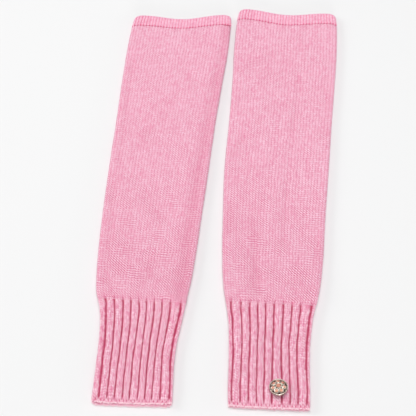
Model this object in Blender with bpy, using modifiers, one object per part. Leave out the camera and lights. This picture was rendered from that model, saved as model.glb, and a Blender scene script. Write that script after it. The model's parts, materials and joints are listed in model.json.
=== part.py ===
"""Pair of long knitted arm warmers laid flat side by side, with a round button on one cuff.

Each warmer is a knitted tube in three pieces: a ribbed cuff, a plain body that widens towards
the upper arm, and a turned hem. The front of each tube lies on its back, and the back lies flat.
Metres, +Z up. The origin is on the surface they lie on, under the middle of the pair. +Y runs
from the cuffs to the upper arm, and +X runs to the right.
"""

import math
from collections import namedtuple

import bmesh
import bpy
from mathutils import Matrix, Vector

MM = 0.001

# Cloth, in millimetres
SEAM_GAP = 0.36
CUFF_WALL = 2.6
CUFF_EDGE_WALL = 2.0
CUFF_EDGE_LENGTH = 9.0
BODY_WALL = 2.0
HEM_WALL = 2.3
HEM_STEP = 0.3
SEAM_ROUNDING = 0.5
SEAM_ROUNDING_LENGTH = 1.4

# Ribs of the cuff: two raised wales and one sunk wale, all round
RIB_COUNT = 22
GROOVE_DEPTH = 1.5
GROOVE_START = 1.6
GROOVE_RUN_OUT = 4.0
GROOVE_TOP_FADE = 2.4
GROOVE_TOP_SHARE = 0.42
GATHER_DEPTH = 0.7
GATHER_LENGTH = 7.0

# Shape across the tube: FOLD_REACH is how far the fullness of a fold runs in from it, and EDGE_CALM
# is how far in the swells of the top layer start. A swell fades out at SWELL_SPREAD times its reach.
# The last two are shares of the half width.
FOLD_REACH = 24.0
EDGE_CALM = 8.0
SWELL_SPREAD = 1.6
RIM_SHOULDER = 0.8
CORNER_START = 0.84

# The back layer's reach past the front one fades out over this length of cuff
BACK_REACH_FADE = 14.0

# Button
BUTTON_RADIUS = 8.8
BUTTON_TILT = math.radians(11.0)
BUTTON_TURN = math.radians(16.0)
BUTTON_ALONG = 17.0
BUTTON_ACROSS = 8.2
FLANGE_RADIUS = 8.3
FLANGE_THICKNESS = 1.0
DOME_RADIUS = 6.9
DOME_RISE = 2.5
DOME_FULLNESS = 0.8
DOME_RINGS = 6
STEM_RADIUS = 2.1
RIM_WIRE_RADIUS = 0.75
RING_STONE_COUNT = 7
RING_STONE_RADIUS = 1.3
RING_STONE_CIRCLE = 4.75
CENTRE_STONE_RADIUS = 2.2
SEAT_GAP = 0.34
SLOPE_SEAT_GAP = 0.4
PLATE_STEPS = 28
WIRE_SIDES = 8
CENTRE_STONE_STEPS = 14
RING_STONE_STEPS = 10

# A stone's side from its crown to its girdle, as (radius, height) in shares of its radius
STONE_SHAPE = [(0.0, 0.62), (0.45, 0.54), (0.82, 0.32), (1.0, 0.12), (1.0, 0.0), (0.0, 0.0)]

# One row for each cross-section of a tube, from the cast-on edge to the rim. along is the distance
# up the tube, drift moves the middle sideways, slant is how far the right fold runs ahead of the
# middle, dip is how far the middle hangs back from the shoulders, corner is how far the folds drop
# back, middle and fold are the heights of the laid tube at its middle and near its folds.
Section = namedtuple("Section", "along half_width drift slant dip corner middle fold")

LEFT_SECTIONS = [
    Section(0.0, 36.2, -0.3, 1.7, 0.3, -2.6, 4.6, 5.2),
    Section(18.0, 35.9, -0.8, 0.8, 0.0, 0.0, 5.9, 6.4),
    Section(40.0, 35.7, -1.6, 0.6, 0.0, 0.0, 6.0, 6.5),
    Section(60.0, 36.3, -1.7, 0.5, 0.0, 0.0, 6.0, 6.5),
    Section(80.0, 38.3, -1.6, 0.4, 0.0, 0.0, 6.0, 6.5),
    Section(94.0, 40.3, -2.1, 0.4, 0.0, 0.0, 6.0, 6.5),
    Section(102.0, 42.2, -3.1, 0.4, 0.0, 0.0, 6.0, 6.6),
    Section(111.0, 43.8, -4.0, 0.4, 0.0, 0.0, 6.3, 7.0),
    Section(126.0, 45.7, -4.1, 0.4, 0.0, 0.0, 6.2, 7.0),
    Section(153.0, 47.7, -4.3, 0.5, 0.0, 0.0, 5.7, 6.6),
    Section(203.0, 49.9, -4.4, 0.7, 0.0, 0.0, 5.3, 6.2),
    Section(260.0, 51.8, -3.8, 1.0, 0.0, 0.0, 5.1, 6.0),
    Section(320.0, 53.3, -3.0, 1.6, 0.3, 0.0, 5.0, 5.8),
    Section(380.0, 55.7, -1.7, 2.6, 1.4, 0.0, 5.0, 5.8),
    Section(430.0, 57.4, -0.2, 4.0, 3.4, 0.4, 4.9, 5.6),
    Section(465.8, 57.1, 0.5, 5.2, 4.9, 1.6, 4.9, 5.5),
    Section(481.6, 56.0, 0.8, 4.9, 6.2, 4.0, 4.9, 5.3),
]

RIGHT_SECTIONS = [
    Section(0.0, 36.5, -0.5, 1.1, 0.0, -1.0, 4.6, 5.2),
    Section(18.0, 36.9, -1.2, 1.0, 0.0, 0.0, 5.9, 6.4),
    Section(40.0, 36.9, -2.0, 0.9, 0.0, 0.0, 6.0, 6.5),
    Section(60.0, 37.5, -2.6, 0.9, 0.0, 0.0, 6.0, 6.5),
    Section(80.0, 38.9, -2.7, 0.9, 0.0, 0.0, 6.0, 6.5),
    Section(94.0, 40.7, -3.1, 0.8, 0.0, 0.0, 6.0, 6.5),
    Section(103.4, 42.7, -3.2, 0.8, 0.0, 0.0, 6.0, 6.6),
    Section(112.0, 44.4, -3.2, 0.7, 0.0, 0.0, 6.3, 7.0),
    Section(127.0, 46.7, -3.4, 0.6, 0.0, 0.0, 6.2, 7.0),
    Section(154.0, 49.1, -3.5, 0.5, 0.0, 0.0, 5.7, 6.6),
    Section(204.0, 51.4, -4.1, 0.4, 0.0, 0.0, 5.3, 6.2),
    Section(260.0, 53.9, -3.8, 0.3, 0.0, 0.0, 5.1, 6.0),
    Section(320.0, 54.9, -2.2, 0.2, 0.3, 0.0, 5.0, 5.8),
    Section(380.0, 56.9, -1.0, 0.1, 1.6, 0.0, 5.0, 5.8),
    Section(432.0, 58.9, -0.8, 0.0, 3.6, 0.6, 4.9, 5.6),
    Section(476.0, 58.4, -0.4, 0.0, 5.3, 2.2, 4.9, 5.5),
    Section(492.2, 57.0, -0.2, 0.0, 5.7, 5.0, 4.9, 5.3),
]

# Soft swells and hollows of the top layer, one row each: where its middle is, how far it reaches
# each way, and how far it rises or, below zero, sinks.
Swell = namedtuple("Swell", "along across reach_along reach_across rise")

LEFT_SWELLS = [
    Swell(150.0, -22.0, 34.0, 13.0, 0.5),
    Swell(196.0, 14.0, 52.0, 15.0, -0.4),
    Swell(262.0, -18.0, 60.0, 12.0, -0.35),
    Swell(318.0, 24.0, 66.0, 13.0, 0.55),
    Swell(372.0, -28.0, 48.0, 13.0, 0.45),
    Swell(424.0, 6.0, 38.0, 20.0, -0.3),
]

RIGHT_SWELLS = [
    Swell(146.0, 20.0, 32.0, 14.0, 0.5),
    Swell(190.0, -16.0, 56.0, 13.0, -0.4),
    Swell(250.0, 22.0, 62.0, 12.0, -0.35),
    Swell(306.0, -20.0, 58.0, 15.0, 0.5),
    Swell(380.0, 26.0, 54.0, 13.0, 0.45),
    Swell(438.0, -8.0, 36.0, 22.0, -0.3),
]

# Grooves between the ribs of the front, from fold to fold, as shares of the girth from the top's
# middle. The other grooves are evenly spaced over the back.
LEFT_GROOVES = (
    -0.262, -0.198, -0.149, -0.103, -0.059, -0.015, 0.03, 0.073, 0.116, 0.161, 0.216, 0.266,
)
RIGHT_GROOVES = (
    -0.266, -0.214, -0.163, -0.117, -0.071, -0.028, 0.019, 0.07, 0.117, 0.163, 0.217, 0.266,
)

# foot is the middle of the cast-on edge, and back_reach is how far the back layer shows past the
# front one.
Warmer = namedtuple("Warmer", "name foot lean sections swells grooves back_reach")

JOIN_ROW = 6

WARMERS = [
    Warmer("left", (-88.5, -241.0), math.radians(4.5), LEFT_SECTIONS, LEFT_SWELLS, LEFT_GROOVES, 1.6),
    Warmer("right", (33.7, -245.4), math.radians(4.5), RIGHT_SECTIONS, RIGHT_SWELLS, RIGHT_GROOVES, 0.3),
]

# Heights of the rings of each piece, as shares of the piece, and the rounding of a free edge
BODY_RINGS = (
    0.0, 0.012, 0.03, 0.055, 0.09, 0.14, 0.2, 0.27, 0.35, 0.43,
    0.51, 0.59, 0.67, 0.75, 0.83, 0.9, 0.95, 0.985, 1.0,
)
BODY_INNER_RINGS = (1.0, 0.85, 0.65, 0.4, 0.2, 0.08, 0.0)
CUFF_RINGS = (0.0, 0.022, 0.045, 0.12, 0.25, 0.4, 0.55, 0.7, 0.82, 0.92, 0.98, 1.0)
CUFF_INNER_RINGS = (1.0, 0.8, 0.5, 0.2, 0.09, 0.04, 0.0)
HEM_RINGS = (0.0, 0.5, 1.0)
FREE_EDGE_ANGLES = (math.radians(45), math.radians(90), math.radians(135))

# Points across one rib. at is a share of the rib's pitch, and sunk is a share of the groove's depth:
# the groove's floor, its lip, a crest, the dent between the two wales, a crest and the other lip.
RibPoint = namedtuple("RibPoint", "at sunk")

RIB_POINTS = [
    RibPoint(0.0, 1.0),
    RibPoint(0.1, 0.38),
    RibPoint(0.28, 0.0),
    RibPoint(0.5, 0.1),
    RibPoint(0.72, 0.0),
    RibPoint(0.9, 0.38),
]
RIBBED_SHARE = 0.31

# Points round a plain ring: shares of the girth on the top, angles round a fold, shares of the back
TOP_SHARE = 0.219
FOLD_ANGLES = [math.radians(angle) for angle in (0, 30, 60, 90, 120, 150, 180)]
BACK_SHARES = (0.12, 0.36, 0.6, 0.84)

YARN_PINK = (0.905, 0.405, 0.553, 1.0)
CUFF_PINK = (0.880, 0.365, 0.515, 1.0)
HEM_PINK = (0.912, 0.430, 0.573, 1.0)
SILVER = (0.78, 0.77, 0.74, 1.0)
STONE_PEACH = (0.86, 0.42, 0.32, 1.0)


def clear_scene():
    for thing in list(bpy.data.objects):
        bpy.data.objects.remove(thing, do_unlink=True)


def new_collection(name):
    collection = bpy.data.collections.new(name)
    bpy.context.scene.collection.children.link(collection)
    return collection


def new_material(name, colour, roughness, metallic=0.0):
    material = bpy.data.materials.new(name)
    material.use_nodes = True
    shader = material.node_tree.nodes["Principled BSDF"]
    shader.inputs["Base Color"].default_value = colour
    shader.inputs["Roughness"].default_value = roughness
    shader.inputs["Metallic"].default_value = metallic
    material.diffuse_color = colour
    return material


def smooth_step(value):
    """0 below 0, 1 above 1, and a soft S between."""
    value = min(max(value, 0.0), 1.0)
    return value * value * (3.0 - 2.0 * value)


def read_section(sections, along):
    """The section at any distance up the tube, on smooth curves through the table's rows."""
    last = len(sections) - 2
    row = 0
    while row < last and sections[row + 1].along < along:
        row += 1
    low, high = sections[row], sections[row + 1]
    before = sections[max(row - 1, 0)]
    after = sections[min(row + 2, last + 1)]
    span = high.along - low.along
    share = (along - low.along) / span

    def curve(column):
        start, end = getattr(low, column), getattr(high, column)
        rise = (end - start) / span
        slope_in = rise
        slope_out = rise
        if before is not low:
            slope_in = 0.5 * (rise + (start - getattr(before, column)) / (low.along - before.along))
        if after is not high:
            slope_out = 0.5 * (rise + (getattr(after, column) - end) / (after.along - high.along))
        h10 = share * (1.0 - share) ** 2
        h11 = -share * share * (1.0 - share)
        return start + (end - start) * smooth_step(share) + span * (h10 * slope_in + h11 * slope_out)

    columns = [curve(name) for name in Section._fields[1:]]
    return Section(along, *columns)


def half_girth(section):
    """Half of the way round the tube's outer face."""
    radius = section.fold / 2.0
    return 2.0 * (section.half_width - radius) + math.pi * radius


def swell_at(swells, along, across):
    """How far the top layer is raised here by its swells and hollows."""
    rise = 0.0
    for swell in swells:
        far_along = (along - swell.along) / swell.reach_along
        far_across = (across - swell.across) / swell.reach_across
        rise += swell.rise * (1.0 - smooth_step(math.hypot(far_along, far_across) / SWELL_SPREAD))
    return rise


def top_height(section, across, swells):
    """Height of the laid tube over the surface, between its folds. It is fullest near the folds."""
    flat = section.half_width - section.fold / 2.0
    fullness = smooth_step((abs(across) - (flat - FOLD_REACH)) / FOLD_REACH)
    inward = 1.0 - smooth_step((abs(across) - (flat - EDGE_CALM)) / EDGE_CALM)
    height = section.middle + (section.fold - section.middle) * fullness
    return height + swell_at(swells, section.along, across) * inward


def tube_point(section, way, inset, swells):
    """(across, up) of the wall's point this far round from the top's middle, and this deep in it."""
    radius = section.fold / 2.0
    flat = section.half_width - radius
    side = 1.0 if way >= 0.0 else -1.0
    distance = abs(way)
    if distance <= flat:
        return way, top_height(section, way, swells) - inset
    angle = (distance - flat) / radius
    if angle <= math.pi:
        reach = radius - inset
        return side * (flat + reach * math.sin(angle)), radius + reach * math.cos(angle)
    return side * (2.0 * flat + math.pi * radius - distance), inset


def underside_share(section, way):
    """0 on the top layer, 1 on the back layer, changing round the fold."""
    flat = section.half_width - section.fold / 2.0
    return smooth_step((abs(way) - flat) / (math.pi * section.fold / 2.0))


def edge_shift(section, share):
    """How far a point at this share of the half width lies ahead along the tube."""
    dip = 0.0
    if abs(share) < RIM_SHOULDER:
        dip = 0.5 * (1.0 + math.cos(math.pi * share / RIM_SHOULDER))
    corner = max(abs(share) - CORNER_START, 0.0) / (1.0 - CORNER_START)
    return section.slant * share - section.dip * dip - section.corner * corner * corner


def lay_point(warmer, section, way, inset, back_reach=0.0):
    """A point of a tube's wall, as it lies on the surface."""
    across, up = tube_point(section, way, inset, warmer.swells)
    share = across / section.half_width
    along = section.along + edge_shift(section, share) - back_reach * underside_share(section, way)
    across += section.drift
    lean_in, lean_up = math.sin(warmer.lean), math.cos(warmer.lean)
    x = warmer.foot[0] + along * lean_in + across * lean_up
    y = warmer.foot[1] + along * lean_up - across * lean_in
    return Vector((x, y, up)) * MM


def wrapped(share):
    """A share of the girth from the top's middle, between -0.5 and 0.5."""
    return (share + 0.5) % 1.0 - 0.5


def rib_spans(grooves):
    """(start, width) of every rib round the tube, as shares of the girth."""
    back_count = RIB_COUNT - len(grooves) + 1
    back_pitch = (1.0 + grooves[0] - grooves[-1]) / back_count
    starts = list(grooves) + [grooves[-1] + back_pitch * (step + 1) for step in range(back_count)]
    return [(low, high - low) for low, high in zip(starts, starts[1:])]


def rib_lattice(grooves):
    """(share of the girth, depth of the groove there) round the cuff. The back has no grooves."""
    lattice = []
    for start, width in rib_spans(grooves):
        ribbed = abs(wrapped(start + 0.5 * width)) < RIBBED_SHARE
        for point in RIB_POINTS if ribbed else RIB_POINTS[:1]:
            share = wrapped(start + point.at * width)
            lattice.append((share, GROOVE_DEPTH * point.sunk if ribbed else 0.0))
    return sorted(lattice)


def cuff_ring(warmer, along, inset, relief=0.0, back_reach=0.0):
    """A ring of the cuff. relief is the share of their full depth that the grooves have here."""
    section = read_section(warmer.sections, along)
    girth = 2.0 * half_girth(section)
    ring = []
    for share, depth in rib_lattice(warmer.grooves):
        way = share * girth
        sunk = depth * relief * (1.0 - underside_share(section, way) ** 2)
        ring.append(lay_point(warmer, section, way, inset + sunk, back_reach))
    return ring


def plain_ways(section, grooves):
    """(distance round from the top's middle, share of a gather) for the points of a plain ring."""
    radius = section.fold / 2.0
    flat = section.half_width - radius
    girth = 2.0 * half_girth(section)
    ways = []
    for start, width in rib_spans(grooves):
        for share, sunk in ((start, 1.0), (start + 0.5 * width, 0.0)):
            if abs(share) <= TOP_SHARE:
                ways.append((share * girth, sunk))
    for side in (-1.0, 1.0):
        ways += [(side * (flat + radius * angle), 0.0) for angle in FOLD_ANGLES]
        ways += [(side * (half_girth(section) - share * flat), 0.0) for share in BACK_SHARES]
    return sorted(ways)


def plain_ring(warmer, section, inset, gather=0.0):
    """A ring of the body or hem. gather sinks the points where a rib's groove runs out."""
    return [
        lay_point(warmer, section, way, inset + gather * sunk)
        for way, sunk in plain_ways(section, warmer.grooves)
    ]


def thickened(section, step):
    """The section of a piece that stands out this far over the body's face, but not at the back."""
    return section._replace(
        half_width=section.half_width + step, middle=section.middle + step, fold=section.fold + step
    )


def free_edge(wall):
    """(distance from the edge, inset) round the half circle of a wall's free edge."""
    radius = wall / 2.0
    return [
        (radius * (1.0 - math.sin(angle)), radius * (1.0 - math.cos(angle))) for angle in FREE_EDGE_ANGLES
    ]


def cuff_wall(along):
    """The cuff's wall is thinner at the cast-on edge."""
    return CUFF_EDGE_WALL + (CUFF_WALL - CUFF_EDGE_WALL) * smooth_step(along / CUFF_EDGE_LENGTH)


def shared_heights(start, end, shares):
    return [start + share * (end - start) for share in shares]


def join_height(warmer):
    """Distance up the tube where the cuff's ribs end and the body begins."""
    return warmer.sections[JOIN_ROW].along


def seam_height(warmer):
    """Distance up the tube of the hem's seam."""
    return warmer.sections[-2].along


def cuff_rings(warmer):
    """Rings up the cuff's outer face, down its inner face and round its cast-on edge."""
    start = CUFF_EDGE_WALL / 2.0
    end = join_height(warmer) - SEAM_GAP / 2.0
    rings = []
    for along in shared_heights(start, end, CUFF_RINGS):
        run_out = smooth_step((along - GROOVE_START) / GROOVE_RUN_OUT)
        top_fade = smooth_step((end - along) / GROOVE_TOP_FADE + GROOVE_TOP_SHARE)
        back_reach = warmer.back_reach * (1.0 - smooth_step(along / BACK_REACH_FADE))
        rings.append(cuff_ring(warmer, along, 0.0, run_out * top_fade, back_reach))
    for along in shared_heights(start, end, CUFF_INNER_RINGS):
        back_reach = warmer.back_reach * (1.0 - smooth_step(along / BACK_REACH_FADE))
        rings.append(cuff_ring(warmer, along, cuff_wall(along), 0.0, back_reach))
    for distance, inset in reversed(free_edge(CUFF_EDGE_WALL)):
        rings.append(cuff_ring(warmer, distance, inset, 0.0, warmer.back_reach))
    return rings


def body_rings(warmer):
    """Rings up the body's outer face and down its inner face."""
    start = join_height(warmer) + SEAM_GAP / 2.0
    end = seam_height(warmer) - SEAM_GAP / 2.0
    rings = []
    for along in shared_heights(start, end, BODY_RINGS):
        section = read_section(warmer.sections, along)
        gather = GATHER_DEPTH * (1.0 - smooth_step((along - start) / GATHER_LENGTH))
        rounding = SEAM_ROUNDING * (1.0 - smooth_step((end - along) / SEAM_ROUNDING_LENGTH))
        rings.append(plain_ring(warmer, section, rounding, gather))
    for along in shared_heights(start, end, BODY_INNER_RINGS):
        rings.append(plain_ring(warmer, read_section(warmer.sections, along), BODY_WALL))
    return rings


def hem_rings(warmer):
    """Rings up the hem's outer face, round its rim and down its inner face."""
    start = seam_height(warmer) + SEAM_GAP / 2.0
    end = warmer.sections[-1].along
    top = end - HEM_WALL / 2.0
    shape = [(start, SEAM_ROUNDING)]
    shape += [(along, 0.0) for along in shared_heights(start + SEAM_ROUNDING_LENGTH, top, HEM_RINGS)]
    shape += [(end - distance, inset) for distance, inset in free_edge(HEM_WALL)]
    shape += [(along, HEM_WALL) for along in reversed(shared_heights(start, top, HEM_RINGS))]
    rings = []
    for along, inset in shape:
        section = thickened(read_section(warmer.sections, along), HEM_STEP)
        rings.append(plain_ring(warmer, section, inset))
    return rings


def loft_tube(name, rings, material, collection):
    """A closed wall lofted through its rings, the last of which meets the first."""
    mesh = bpy.data.meshes.new(name)
    build = bmesh.new()
    loops = [[build.verts.new(point) for point in ring] for ring in rings]
    count = len(rings[0])
    for low, high in zip(loops, loops[1:] + loops[:1]):
        for index in range(count):
            following = (index + 1) % count
            build.faces.new((low[index], low[following], high[following], high[index]))
    bmesh.ops.recalc_face_normals(build, faces=build.faces)
    build.to_mesh(mesh)
    build.free()
    mesh.shade_smooth()
    mesh.set_sharp_from_angle(angle=math.radians(50))
    return add_object(name, mesh, material, collection)


def add_object(name, mesh, material, collection):
    mesh.materials.append(material)
    thing = bpy.data.objects.new(name, mesh)
    collection.objects.link(thing)
    return thing


def build_warmer(warmer, finishes, collection):
    pieces = [
        ("cuff", cuff_rings(warmer)),
        ("body", body_rings(warmer)),
        ("hem", hem_rings(warmer)),
    ]
    return [
        loft_tube(f"{warmer.name}_{piece}", rings, finishes[piece], collection) for piece, rings in pieces
    ]


def turned_piece(name, profile, steps, material, collection, closed=False):
    """A profile of (radius, height) turned about Z. It runs down its outer side."""
    mesh = bpy.data.meshes.new(name)
    points = [(radius * MM, 0.0, height * MM) for radius, height in profile]
    edges = [(index, index + 1) for index in range(len(points) - 1)]
    if closed:
        edges.append((len(points) - 1, 0))
    mesh.from_pydata(points, edges, [])
    thing = add_object(name, mesh, material, collection)
    screw = thing.modifiers.new("Turn", "SCREW")
    screw.axis = "Z"
    screw.steps = steps
    screw.render_steps = steps
    screw.use_merge_vertices = True
    screw.merge_threshold = 0.00001
    screw.use_smooth_shade = True
    return thing


def dome_height(radius):
    """Height of the button's dome over its flange, by distance from the centre."""
    return DOME_RISE * math.cos(0.5 * math.pi * radius / DOME_RADIUS) ** DOME_FULLNESS


def plate_profile():
    """The button's plate: dome, flange with a round edge, and the stem that is sewn down."""
    profile = []
    for step in range(DOME_RINGS):
        radius = DOME_RADIUS * step / DOME_RINGS
        profile.append((radius, FLANGE_THICKNESS + dome_height(radius)))
    edge = FLANGE_THICKNESS / 2.0
    profile += [
        (DOME_RADIUS, FLANGE_THICKNESS),
        (FLANGE_RADIUS - edge, FLANGE_THICKNESS),
        (FLANGE_RADIUS, edge),
        (FLANGE_RADIUS - edge, 0.0),
        (STEM_RADIUS, 0.0),
        (STEM_RADIUS, -stem_length()),
        (0.0, -stem_length()),
    ]
    return profile


def stem_length():
    """The stem holds the plate so that its low edge just clears the ribs."""
    return (FLANGE_RADIUS - STEM_RADIUS) * math.sin(BUTTON_TILT)


def rim_profile():
    """A round wire on the flange, clear of the dome."""
    middle = BUTTON_RADIUS - RIM_WIRE_RADIUS
    height = FLANGE_THICKNESS + SEAT_GAP + RIM_WIRE_RADIUS
    profile = []
    for side in range(WIRE_SIDES):
        angle = 2.0 * math.pi * side / WIRE_SIDES
        across, up = RIM_WIRE_RADIUS * math.cos(angle), RIM_WIRE_RADIUS * math.sin(angle)
        profile.append((middle + across, height - up))
    return profile


def stone_profile(radius):
    """A round-topped stone with a flat base at height 0."""
    return [(across * radius, height * radius) for across, height in STONE_SHAPE]


def button_frame(warmer):
    """The button's own frame, tilted about its far edge's side and turned, seated on the ribs."""
    section = read_section(warmer.sections, BUTTON_ALONG)
    crest = lay_point(warmer, section, BUTTON_ACROSS, 0.0)
    drop = STEM_RADIUS * math.sin(BUTTON_TILT)
    height = (stem_length() + drop + SEAT_GAP) * MM
    tilt = Matrix.Rotation(-BUTTON_TILT, 4, "X")
    turn = Matrix.Rotation(BUTTON_TURN, 4, "Z")
    return Matrix.Translation(crest + Vector((0.0, 0.0, height))) @ turn @ tilt


def build_button(warmer, finishes, collection):
    base = button_frame(warmer)
    metal, stone = finishes["metal"], finishes["stone"]
    plate = turned_piece("button_plate", plate_profile(), PLATE_STEPS, metal, collection)
    rim = turned_piece("button_rim", rim_profile(), PLATE_STEPS, metal, collection, closed=True)
    plate.matrix_world = base
    rim.matrix_world = base
    shape = stone_profile(CENTRE_STONE_RADIUS)
    centre = turned_piece("button_stone_centre", shape, CENTRE_STONE_STEPS, stone, collection)
    seat = FLANGE_THICKNESS + dome_height(0.0) + SEAT_GAP
    centre.matrix_world = base @ Matrix.Translation((0.0, 0.0, seat * MM))
    pieces = [plate, rim, centre]

    inner_height = dome_height(RING_STONE_CIRCLE - RING_STONE_RADIUS)
    outer_height = dome_height(RING_STONE_CIRCLE + RING_STONE_RADIUS)
    slope = math.atan2(inner_height - outer_height, 2.0 * RING_STONE_RADIUS)
    height = FLANGE_THICKNESS + dome_height(RING_STONE_CIRCLE) + SLOPE_SEAT_GAP / math.cos(slope)
    seat_place = Matrix.Translation((RING_STONE_CIRCLE * MM, 0.0, height * MM))
    lean_out = Matrix.Rotation(slope, 4, "Y")
    shape = stone_profile(RING_STONE_RADIUS)
    for index in range(RING_STONE_COUNT):
        angle = 2.0 * math.pi * (index + 0.5) / RING_STONE_COUNT
        name = f"button_stone_{index + 1}"
        ring_stone = turned_piece(name, shape, RING_STONE_STEPS, stone, collection)
        ring_stone.matrix_world = base @ Matrix.Rotation(angle, 4, "Z") @ seat_place @ lean_out
        pieces.append(ring_stone)
    return pieces


def centre_pair(pieces):
    """Moves every piece so that the origin is under the middle of the pair."""
    bpy.context.view_layer.update()
    corners = [piece.matrix_world @ Vector(corner) for piece in pieces for corner in piece.bound_box]
    middle_x = 0.5 * (min(point.x for point in corners) + max(point.x for point in corners))
    middle_y = 0.5 * (min(point.y for point in corners) + max(point.y for point in corners))
    for piece in pieces:
        piece.matrix_world = Matrix.Translation((-middle_x, -middle_y, 0.0)) @ piece.matrix_world


def main():
    clear_scene()
    collection = new_collection("arm_warmers")
    finishes = {
        "cuff": new_material("rib_knit", CUFF_PINK, 0.92),
        "body": new_material("plain_knit", YARN_PINK, 0.92),
        "hem": new_material("hem_knit", HEM_PINK, 0.92),
        "metal": new_material("silver_metal", SILVER, 0.25, metallic=1.0),
        "stone": new_material("peach_stone", STONE_PEACH, 0.12),
    }
    pieces = []
    for warmer in WARMERS:
        pieces += build_warmer(warmer, finishes, collection)
    pieces += build_button(WARMERS[1], finishes, collection)
    centre_pair(pieces)


main()
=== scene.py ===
import json
import math

import bmesh
import bpy
import numpy as np
from mathutils import Matrix, Vector

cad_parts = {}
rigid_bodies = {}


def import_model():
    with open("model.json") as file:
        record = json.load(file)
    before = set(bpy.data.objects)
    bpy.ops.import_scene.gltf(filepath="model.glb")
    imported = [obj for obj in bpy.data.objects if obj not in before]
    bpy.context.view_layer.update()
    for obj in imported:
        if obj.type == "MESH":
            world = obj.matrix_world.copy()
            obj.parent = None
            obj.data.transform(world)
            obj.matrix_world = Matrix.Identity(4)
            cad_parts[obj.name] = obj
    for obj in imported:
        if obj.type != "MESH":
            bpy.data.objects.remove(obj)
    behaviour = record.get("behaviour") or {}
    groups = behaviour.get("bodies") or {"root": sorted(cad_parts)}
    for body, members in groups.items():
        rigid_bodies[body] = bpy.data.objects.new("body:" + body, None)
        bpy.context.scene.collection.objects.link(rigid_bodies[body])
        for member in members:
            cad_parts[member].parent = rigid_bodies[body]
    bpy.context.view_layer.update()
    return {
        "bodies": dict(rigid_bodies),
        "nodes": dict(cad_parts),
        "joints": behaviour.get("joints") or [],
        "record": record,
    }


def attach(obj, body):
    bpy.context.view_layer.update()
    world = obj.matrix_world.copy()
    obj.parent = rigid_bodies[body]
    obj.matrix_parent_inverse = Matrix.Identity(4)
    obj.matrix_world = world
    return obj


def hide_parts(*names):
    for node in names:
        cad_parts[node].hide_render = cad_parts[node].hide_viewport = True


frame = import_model()
scene = bpy.context.scene
mm = 0.001
print("frame loaded:", ", ".join(sorted(frame["nodes"])))

stageSettings = {
    "cameraPlace": (-0.02109, -0.5671, 0.795),
    "cameraElevation": 56.0,
    "cameraLens": 81.69,
    "cameraSensor": 36.0,
    "nearestSeen": 0.01,
    "floorSize": 6.0,
    "floorFinish": {"Base Color": (0.83, 0.832, 0.835, 1.0), "Roughness": 0.8},
    "roomFinish": {"Color": (1.0, 1.0, 1.0, 1.0), "Strength": 0.34},
    "lights": {  # place, size, power and colour
        "topLight": ((0.0, 0.35, 2.6), 2.0, 46.0, (1.0, 1.0, 1.0)),
        "leftLight": ((-3.6, 0.9, 1.7), 1.6, 50.0, (1.0, 0.99, 0.97)),
        "frontLight": ((0.2, -3.0, 0.25), 1.4, 54.0, (1.0, 1.0, 1.0)),
        "rightLight": ((3.0, -0.5, 0.3), 1.4, 18.0, (1.0, 1.0, 1.0)),
    },
}


def meshOf(build, name="shape"):
    mesh = bpy.data.meshes.new(name)
    build.to_mesh(mesh)
    build.free()
    return mesh


def setValues(node, values):
    for name, value in values.items():
        node.inputs[name].default_value = value


# finish holds what is the same all over the surface
def newMaterial(name, finish):
    material = bpy.data.materials.new(name)
    material.use_nodes = True
    shader = material.node_tree.nodes["Principled BSDF"]
    setValues(shader, finish)
    return material, material.node_tree, shader


def addAreaLight(name, place, size, power, colour):
    light = bpy.data.lights.new(name, "AREA")
    light.shape = "DISK"
    light.size = size
    light.energy = power
    light.color = colour
    lamp = bpy.data.objects.new(name, light)
    lamp.location = place
    lamp.rotation_euler = (-Vector(place)).to_track_quat("-Z", "Y").to_euler()
    scene.collection.objects.link(lamp)


def setStage():
    given = stageSettings
    camera = bpy.data.objects.new("camera", bpy.data.cameras.new("camera"))
    camera.location = given["cameraPlace"]
    camera.rotation_euler = (math.radians(90.0 - given["cameraElevation"]), 0.0, 0.0)
    camera.data.sensor_width = given["cameraSensor"]
    camera.data.lens = given["cameraLens"]
    camera.data.clip_start = given["nearestSeen"]
    scene.collection.objects.link(camera)
    scene.camera = camera

    room = bpy.data.worlds.new("room")
    room.use_nodes = True
    setValues(room.node_tree.nodes["Background"], given["roomFinish"])
    scene.world = room
    scene.view_settings.view_transform = "Standard"
    for name, values in given["lights"].items():
        addAreaLight(name, *values)

    build = bmesh.new()
    bmesh.ops.create_grid(build, x_segments=1, y_segments=1, size=given["floorSize"] / 2)
    floor = bpy.data.objects.new("floor", meshOf(build, "floor"))
    scene.collection.objects.link(floor)
    floor.data.materials.append(newMaterial("floorPaper", given["floorFinish"])[0])


setStage()
print("stage set")


def plug(tree, value, socket):
    if isinstance(value, bpy.types.NodeSocket):
        tree.links.new(value, socket)
    else:
        socket.default_value = value


def addNode(tree, kind, settings=(), **inputs):
    node = tree.nodes.new(kind)
    for key, value in dict(settings).items():
        setattr(node, key, value)
    for key, value in inputs.items():
        plug(tree, value, node.inputs[key])
    return node


def calculate(tree, operation, first, second=0.0, clamp=False):
    node = addNode(tree, "ShaderNodeMath", {"operation": operation, "use_clamp": clamp})
    plug(tree, first, node.inputs[0])
    plug(tree, second, node.inputs[1])
    return node.outputs[0]


# Sources added up: each is (source, factor), or (source, factor, what it is counted from)
def addUp(tree, start, *sources):
    total = start
    for source, factor, *origin in sources:
        if origin:
            source = calculate(tree, "SUBTRACT", source, *origin)
        total = calculate(tree, "ADD", calculate(tree, "MULTIPLY", source, factor), total)
    return total


def softRange(tree, value, low, high):
    node = addNode(tree, "ShaderNodeMapRange", {"interpolation_type": "SMOOTHSTEP"}, Value=value)
    setValues(node, {"From Min": low, "From Max": high})
    return node.outputs["Result"]


def mixColours(tree, share, first, second):
    node = addNode(tree, "ShaderNodeMix", {"data_type": "RGBA"}, Factor=share, A=first, B=second)
    return node.outputs["Result"]


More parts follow.
